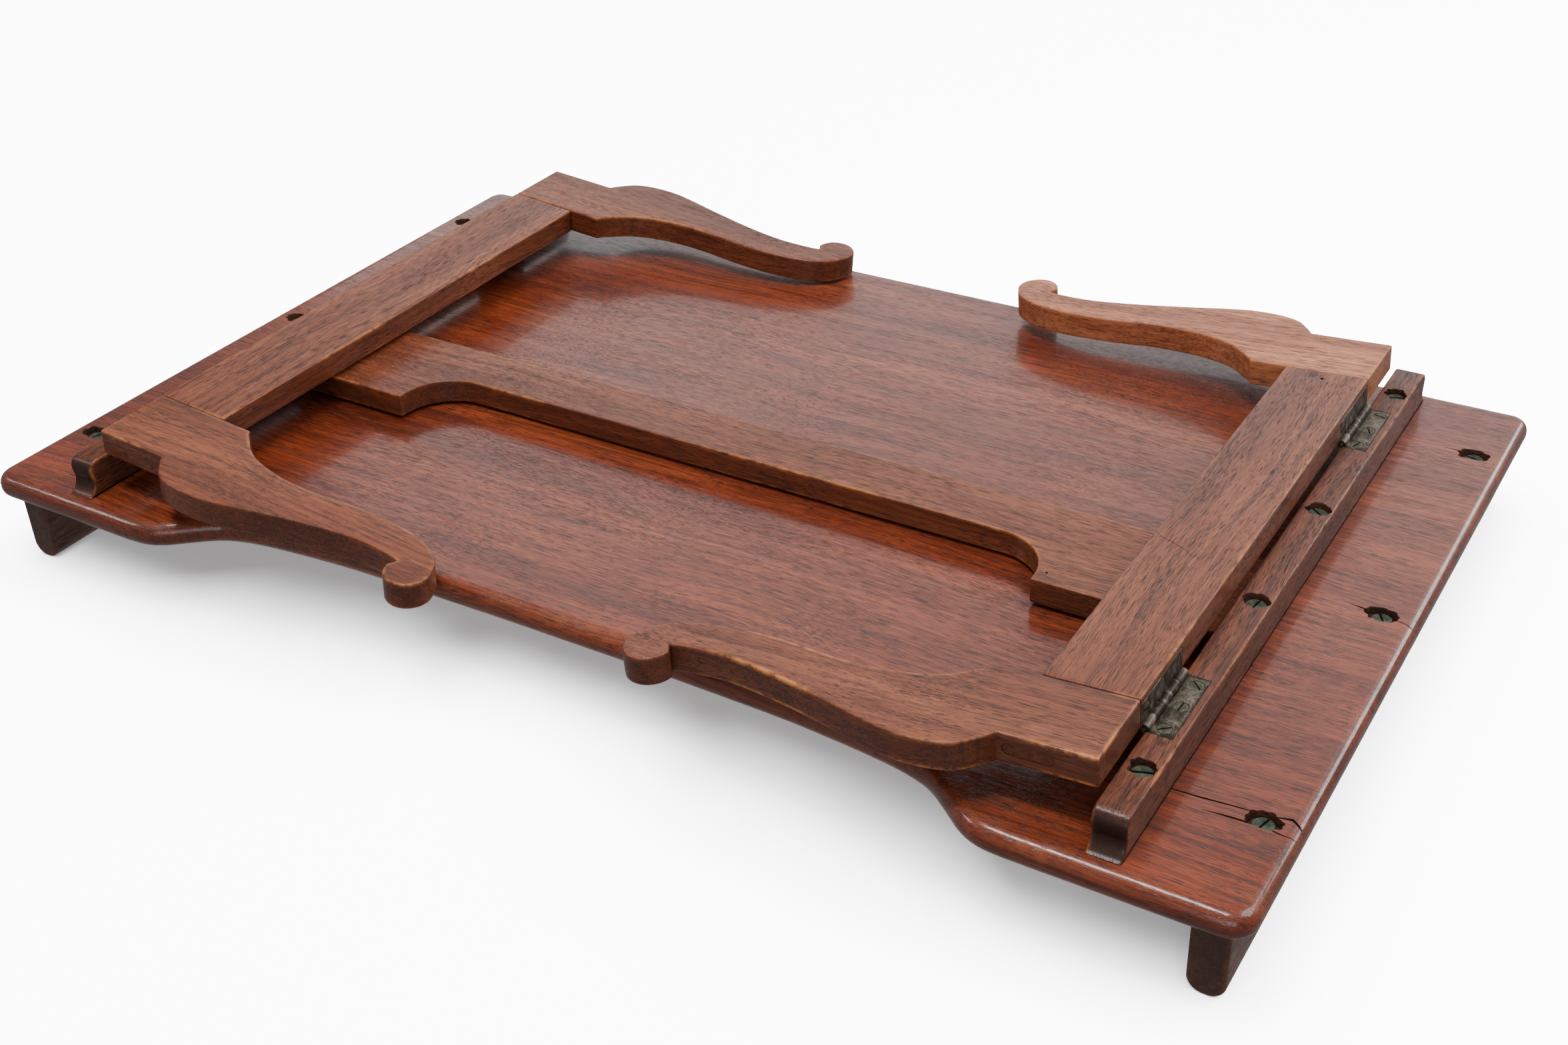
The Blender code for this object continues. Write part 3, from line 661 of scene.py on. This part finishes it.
def leaf(name, owner, seed):
    """One hinge leaf: plate, curled knuckles and three countersunk screws, pin along Y.

    Leaf 0 lies below the pin and has the outer knuckles, leaf 1 lies above it.
    """
    side = 1 if owner else -1
    half = HINGE_LENGTH / 2
    wrap = math.degrees(math.asin(PIN_OFFSET / KNUCKLE_RADIUS))
    section = arc((0, 0), KNUCKLE_RADIUS, -90, -360 - wrap, 28)
    section += [(LEAF_WIDTH - 0.25 * MM, -PIN_OFFSET), (LEAF_WIDTH, -PIN_OFFSET - 0.25 * MM),
                (LEAF_WIDTH, -KNUCKLE_RADIUS)]
    plate = prism([(x, -side * z) for x, z in section], -half, half, "Y")
    coat(plate, brass)
    worn = plate.data.attributes.new("wear", "FLOAT", "POINT")
    for i, vert in enumerate(plate.data.vertices):
        crown = -side * vert.co.z > 0.25 * KNUCKLE_RADIUS
        worn.data[i].value = 1.0 if crown else 0.0
    removed = []
    for low, high in knuckle_spans(1 - owner):
        room = rod(KNUCKLE_RADIUS + GAP, (0, low - GAP / 2, 0), (0, high + GAP / 2, 0), 28)
        removed.append(coat(room, brass))
    removed.append(coat(rod(BORE_RADIUS, (0, -half - MM, 0), (0, half + MM, 0), 16), brass))
    heads = []
    flip = Matrix.Rotation(math.pi if owner else 0.0, 4, "X")
    for i in (-1, 0, 1):
        out = LEAF_SCREW_OUT + 0.25 * MM * i * seed
        spot = Matrix.Translation((out, i * LEAF_SCREW_PITCH, side * PIN_OFFSET)) @ flip
        sink = lathe("tool", [(LEAF_SCREW_SINK, 0.5 * MM, 0), (LEAF_SCREW_SINK, 0, 0),
                              (1.9 * MM, -0.7 * MM, 0), (1.9 * MM, -2 * MM, 0)], 24)
        sink.data.transform(spot)
        # The ring round each head is coloured near-black: painted shade in the gap
        removed.append(coat(sink, slot_dirt_and_shade))
        head = leaf_screw(25 + 47 * i + 31 * seed)
        head.data.transform(spot)
        heads.append(head)
    combine(plate, removed=removed)
    for head in heads:
        plate = merge(plate, head)
    plate.name = name
    return plate


def merge(base, extra):
    """Put a second solid into the first one's mesh, with its own materials."""
    bm = bmesh.new()
    bm.from_mesh(base.data)
    start = len(base.data.materials)
    for each in extra.data.materials:
        base.data.materials.append(each)
    count = len(bm.faces)
    bm.from_mesh(extra.data)
    bm.faces.ensure_lookup_table()
    for face in bm.faces[count:]:
        face.material_index += start
    bm.to_mesh(base.data)
    bm.free()
    bpy.data.objects.remove(extra)
    return base


def leaf_tools(owner, placement):
    """What a piece of wood loses to let in one leaf."""
    half = HINGE_LENGTH / 2 + GAP
    radius = KNUCKLE_RADIUS + GAP
    section = arc((0, 0), radius, 90, 270, 12)
    section += [(LEAF_WIDTH + GAP, -radius), (LEAF_WIDTH + GAP, radius)]
    side = 1 if owner else -1
    tools = [prism(section, -half, half, "Y")]
    for i in (-1, 0, 1):
        x, y = LEAF_SCREW_OUT, i * LEAF_SCREW_PITCH
        tools.append(rod(LEAF_SCREW_HOLE, (x, y, side * PIN_OFFSET),
                         (x, y, side * (PIN_OFFSET + 7 * MM)), 12))
    for tool in tools:
        coat(tool, recess_shade_wood)
        tool.data.transform(placement)
    return tools


def screw_hole(x, y, top, bottom):
    """The plain hole of a wood screw, from one height to another."""
    return coat(rod(SCREW_HOLE_RADIUS, (x, y, top), (x, y, bottom)), recess_shade_wood)


def recess_tools(x, y, face_z, seed, long=1.0, wide=0.92):
    """The rough oval recess and the hole of one wood screw."""
    head_z = -RECESS_DEPTH
    oval = lathe("tool", [(5.9 * MM, MM, 0), (4.95 * MM, -0.6 * MM, 0),
                          (4.4 * MM, head_z - 0.8 * MM, 0)], 40, 0.30, seed, wide / long)
    oval.data.transform(Matrix.Diagonal((long, long, 1, 1)))
    shaft = lathe("tool", [(4.3 * MM, head_z - 0.6 * MM, 0),
                           (SCREW_HOLE_RADIUS, head_z - 2.9 * MM, 0),
                           (SCREW_HOLE_RADIUS, head_z - 22 * MM, 0)], 20)
    for tool in (oval, shaft):
        coat(tool, recess_shade_wood)
        tool.data.transform(Matrix.Translation((x, y, face_z)))
    return [oval, shaft]


def crack_tool(path, face_z, depth):
    """A split along a path of (x, y, width), in millimetres, that opens at a face."""
    path = [(x * MM, y * MM, width * MM) for x, y, width in path]
    left, right = [], []
    for i, (x, y, width) in enumerate(path):
        before, after = path[max(i - 1, 0)], path[min(i + 1, len(path) - 1)]
        along = Vector((after[0] - before[0], after[1] - before[1])).normalized()
        left.append((x - along.y * width / 2, y + along.x * width / 2))
        right.append((x + along.y * width / 2, y - along.x * width / 2))
    return coat(prism(left + right[::-1], face_z - depth, face_z + 0.5 * MM), recess_shade_wood)


def nail_hole(x, y, face_z, radius):
    """A small round hole sunk in a face."""
    return coat(rod(radius, (x, y, face_z + MM), (x, y, face_z - 2.5 * MM), 12), recess_shade_wood)


def wood_screw(name, turn):
    """A slotted wood screw with its head's top at z = 0."""
    screw = lathe(name, [(0.55 * SCREW_HEAD, 0.0, 0.2), (0.9 * SCREW_HEAD, -0.05 * MM, 0.8),
                         (SCREW_HEAD, -0.25 * MM, 1), (SCREW_HEAD, -0.5 * MM, 0.4),
                         (1.9 * MM, -2.4 * MM, 0), (1.9 * MM, -16 * MM, 0), (0.4 * MM, -21 * MM, 0)], 32)
    coat(screw, green_brass)
    return combine(screw, removed=[slot_tool(SCREW_HEAD, turn)])


# ---------------------------------------------------------------- the board and its fixed parts

# Each hinge's name and the place of its pin; a leg hinge also has its side, end, turn and droop
apron_hinges = []
for side, name, _ in SIDES:
    at = Matrix.Translation((side * APRON_HINGE_X, APRON_AXIS_Y, APRON_AXIS_Z))
    apron_hinges.append((f"{name}_apron", at @ Matrix.Rotation(-math.pi / 2, 4, "Z")))

leg_hinges = []
for side, name, droop in SIDES:
    spin = Matrix.Rotation(math.pi if side < 0 else 0.0, 4, "Z")
    for end, where in ((-1, "near"), (1, "far")):
        at = Matrix.Translation((side * LEG_AXIS_X, end * HINGE_Y, LEG_AXIS_Z)) @ spin
        leg_hinges.append((side, end, f"{name}_{where}", at, spin, droop))
opened = Matrix.Rotation(-math.pi / 2, 4, "Y")

board = slab("tabletop_board", board_outline(), RAIL_HEIGHT, UNDERSIDE_Z, BOARD_ROUND, steps=8,
             fade=BOARD_FADE)
tools = []
for side, _, _ in SIDES:
    for i, y in enumerate(RAIL_SCREW_YS):
        tools += recess_tools(side * RAIL_SCREW_X, y, UNDERSIDE_Z, 3.1 * side + i, 1.3, 0.9)
    for y in BATTEN_SCREW_YS:
        tools.append(screw_hole(side * BATTEN_SCREW_X, y, UNDERSIDE_Z + MM, UNDERSIDE_Z - 7 * MM))
for _, at in apron_hinges:
    tools += leaf_tools(0, at)
for path in BOARD_SPLITS:
    tools.append(crack_tool(path, UNDERSIDE_Z, SPLIT_DEPTH))
coat(board, board_wood)
ready(combine(board, removed=tools), "tray", "tabletop")

for side, name, _ in SIDES:
    half = RAIL_THICKNESS / 2
    land = half - RAIL_CREST_ROUND
    crest = arc((side * RAIL_X + land, RAIL_CREST_ROUND), RAIL_CREST_ROUND, -90, 0, 12)
    crest = [(2 * side * RAIL_X - x, z) for x, z in reversed(crest)] + crest
    top = RAIL_HEIGHT - GAP
    section = crest + [(side * RAIL_X + half, top), (side * RAIL_X - half, top)]
    rail = slab(f"{name}_end_rail", section, -RAIL_HALF_DEPTH, RAIL_HALF_DEPTH, RAIL_ROUND, "Y")
    tools = [screw_hole(side * RAIL_SCREW_X, y, RAIL_HEIGHT + MM, UNDERSIDE_Z - 24 * MM)
             for y in RAIL_SCREW_YS]
    coat(rail, rail_wood)
    ready(combine(rail, removed=tools), "tray", f"{name}_gallery_rail")

    inner = side * BATTEN_INNER_X
    outer = side * (BATTEN_INNER_X + BATTEN_WIDTH)
    batten = slab(f"{name}_hinge_batten", batten_outline(), *sorted((inner, outer)), BATTEN_ROUND, "X")
    tools = []
    for i, y in enumerate(BATTEN_SCREW_YS):
        tools += recess_tools(side * BATTEN_SCREW_X, y, BATTEN_TOP_Z, 1.7 * side + 5 * i)
    for hinge_side, _, _, at, _, _ in leg_hinges:
        if hinge_side == side:
            tools += leaf_tools(0, at)
    coat(batten, batten_wood)
    ready(combine(batten, removed=tools), "tray", f"{name}_batten")

    for i, y in enumerate(BATTEN_SCREW_YS):
        spot = Matrix.Translation((side * BATTEN_SCREW_X, y, BATTEN_TOP_Z - RECESS_DEPTH))
        ready(wood_screw(f"{name}_hinge_batten_screw_{i + 1}", 20 + 61 * i), "tray",
              f"{name}_batten_screw_{i + 1}", spot)
    for i, y in enumerate(RAIL_SCREW_YS):
        spot = Matrix.Translation((side * RAIL_SCREW_X, y, UNDERSIDE_Z - RECESS_DEPTH))
        ready(wood_screw(f"{name}_end_rail_screw_{i + 1}", 75 + 43 * i), "tray",
              f"{name}_rail_screw_{i + 1}", spot)

# ---------------------------------------------------------------- leg frames

low, high = PIN_OFFSET, PIN_OFFSET + FRAME_THICKNESS
middle = (low + high) / 2
for side, name, droop in SIDES:
    body = f"{name}_legs"
    hang = Matrix.Translation((side * LEG_AXIS_X, 0, LEG_AXIS_Z))
    hang = hang @ Matrix.Rotation(-side * droop, 4, "Y")

    def frame_x(u):
        """Where u from the hinge line is, in the frame's own X."""
        return -side * (PIN_OFFSET + u)

    reach = JOINT_Y - GAP / 2
    outline = rectangle((frame_x(0), frame_x(STRETCHER_WIDTH)), (-reach, reach))
    stretcher = slab(f"{name}_cross_stretcher", outline, low, high, STRETCHER_ROUND)
    coat(stretcher, cross_wood)
    through = JOINT_Y + BLOCK_DEPTH - 0.2 * MM
    stopped = JOINT_Y + BLOCK_DEPTH - TENON_STOP
    tenon = prism(slot((frame_x(TENON_U), middle), TENON_LENGTH, TENON_THICKNESS),
                  -through if name == "right" else -stopped, stopped, "Y")
    coat(tenon, cross_wood)
    tools = []
    for hinge_side, end, _, _, spin, _ in leg_hinges:
        if hinge_side == side:
            tools += leaf_tools(1, Matrix.Translation((0, end * HINGE_Y, 0)) @ spin @ opened)
    if name == "right":
        tools.append(crack_tool(STRETCHER_HAIRLINE, high, HAIRLINE_DEPTH))
        tools.append(nail_hole(*STRETCHER_NAIL, high, STRETCHER_NAIL_RADIUS))
    ready(combine(stretcher, [tenon], tools), body, f"{name}_stretcher", hang)

    for end, where in ((-1, "near"), (1, "far")):
        shoulder = JOINT_Y + GAP / 2
        splay = FAR_SPLAY[name] if end > 0 else 0.0
        outline = [(frame_x(u), end * (shoulder + v), *rest) for u, v, *rest in leg_outline(splay)]
        leg = slab(f"{name}_{where}_scroll_leg", outline, low, high, LEG_ROUND)
        # The far-right leg takes the paler copy with painted light, the near-right leg the worn one
        leg_material = {("right", 1): painted_light_wood, ("right", -1): worn_wood}.get((name, end), long_wood)
        coat(leg, leg_material)
        through = name == "right" and end < 0
        bottom = JOINT_Y + BLOCK_DEPTH + (MM if through else GAP - TENON_STOP)
        mortise = slot((frame_x(TENON_U), middle), TENON_LENGTH + TENON_PLAY,
                       TENON_THICKNESS + TENON_PLAY)
        hole = prism(mortise, *sorted((end * (shoulder - MM), end * bottom)), "Y")
        coat(hole, recess_shade_wood)
        ready(combine(leg, removed=[hole]), body, f"{name}_{where}_leg", hang)

# ---------------------------------------------------------------- apron

outline = [(x, y - APRON_AXIS_Y, *rest) for x, y, *rest in apron_outline()]
apron = slab("swinging_apron", outline, PIN_OFFSET, PIN_OFFSET + APRON_THICKNESS, APRON_ROUND)
coat(apron, long_wood)
tools = []
for _, at in apron_hinges:
    tools += leaf_tools(1, Matrix.Translation((0, -APRON_AXIS_Y, -APRON_AXIS_Z)) @ at)
nail_x, nail_y = APRON_NAIL
tools.append(nail_hole(nail_x, nail_y - APRON_AXIS_Y, PIN_OFFSET + APRON_THICKNESS,
                       APRON_NAIL_RADIUS))
ready(combine(apron, removed=tools), "apron_board", "apron",
      Matrix.Translation((0, APRON_AXIS_Y, APRON_AXIS_Z)))

# ---------------------------------------------------------------- hinges

for seed, (side, _, name, at, _, droop) in enumerate(leg_hinges):
    ready(leaf(f"{name}_fixed_leaf", 0, seed), "tray", f"{name}_batten_leaf", at)
    hang = Matrix.Rotation(-droop, 4, "Y")
    body = "left_legs" if side < 0 else "right_legs"
    ready(leaf(f"{name}_moving_leaf", 1, seed + 1), body, f"{name}_frame_leaf", at @ hang @ opened)
for seed, (name, at) in enumerate(apron_hinges):
    ready(leaf(f"{name}_fixed_leaf", 0, seed), "tray", f"{name}_board_leaf", at)
    ready(leaf(f"{name}_moving_leaf", 1, seed + 1), "apron_board", f"{name}_hinge_leaf", at)
for name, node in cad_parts.items():
    if name.endswith("hinge_pin"):
        coat(node, pin_steel)

# ---------------------------------------------------------------- camera, floor and light

CAMERA_AT = (0.4209, -0.6426, 0.4888)
YAW, PITCH, ROLL = 0.5662, -0.5647, -0.0424
LENS, SENSOR = 43.79, 36.0          # millimetres
FLOOR_HALF = 6
forward = Vector((-math.sin(YAW) * math.cos(PITCH), math.cos(YAW) * math.cos(PITCH), math.sin(PITCH)))
level = Vector((math.cos(YAW), math.sin(YAW), 0))
lift = level.cross(forward)
right = math.cos(ROLL) * level + math.sin(ROLL) * lift
up = -math.sin(ROLL) * level + math.cos(ROLL) * lift
camera = bpy.data.objects.new("camera", bpy.data.cameras.new("camera"))
camera.data.lens = LENS
camera.data.sensor_width = SENSOR
basis = Matrix((right, up, -forward)).transposed().to_4x4()
camera.matrix_world = Matrix.Translation(CAMERA_AT) @ basis
bpy.context.scene.collection.objects.link(camera)
bpy.context.scene.camera = camera

floor_mesh = bpy.data.meshes.new("floor")
corners = [(FLOOR_HALF * x, FLOOR_HALF * y, 0) for x, y in ((-1, -1), (1, -1), (1, 1), (-1, 1))]
floor_mesh.from_pydata(corners, [], [(0, 1, 2, 3)])
floor = bpy.data.objects.new("floor", floor_mesh)
bpy.context.scene.collection.objects.link(floor)
paper = Nodes("pale_floor")
floor_mesh.materials.append(paper.set(Base_Color=(0.80, 0.80, 0.81), Roughness=0.9,
                                      Emission_Color=(1, 1, 1), Emission_Strength=0.25))
# A bright floor that neither lights the wood from below nor shows in its polish
floor.visible_diffuse = False
floor.visible_glossy = False
floor_only = bpy.data.collections.new("floor_only")
floor_only.objects.link(floor)

world = bpy.data.worlds.new("studio")
bpy.context.scene.world = world
world.use_nodes = True
background = world.node_tree.nodes["Background"]
background.inputs["Color"].default_value = (1, 1, 1, 1)
background.inputs["Strength"].default_value = 0.32


def soft_light(name, where, target, size, power, receivers=None):
    """A panel of size metres that faces its target, in watts, for all or for some receivers."""
    data = bpy.data.lights.new(name, "AREA")
    data.shape = "RECTANGLE"
    data.size, data.size_y = size
    data.energy = power
    lamp = bpy.data.objects.new(name, data)
    bpy.context.scene.collection.objects.link(lamp)
    lamp.location = where
    lamp.rotation_euler = (Vector(target) - Vector(where)).to_track_quat("-Z", "Y").to_euler()
    if receivers:
        lamp.light_linking.receiver_collection = receivers


soft_light("overhead", (1.2, 0.6, 1.6), (0.15, 0, 0), (1.4, 1.1), 32)
soft_light("back", (-0.5, 2.4, 1.25), (0.05, 0, 0.05), (3.8, 1.8), 27)
soft_light("key", (-0.15, -0.35, 1.8), (0, 0, 0), (0.9, 0.4), 30)
soft_light("right_rim", (1.5, 2.2, 0.95), (0.3, 0, 0), (1.2, 0.5), 21)
soft_light("left_rim", (-1.7, -0.8, 1.4), (-0.3, 0, 0), (0.5, 0.4), 7)
soft_light("front_fill", (0.7, -1.9, 0.7), (0, 0, 0.05), (1.6, 1.0), 13)
soft_light("floor_wash", (0.3, 0.3, 2.5), (0, 0, 0), (4.7, 4.7), 1850, floor_only)

bpy.context.view_layer.update()
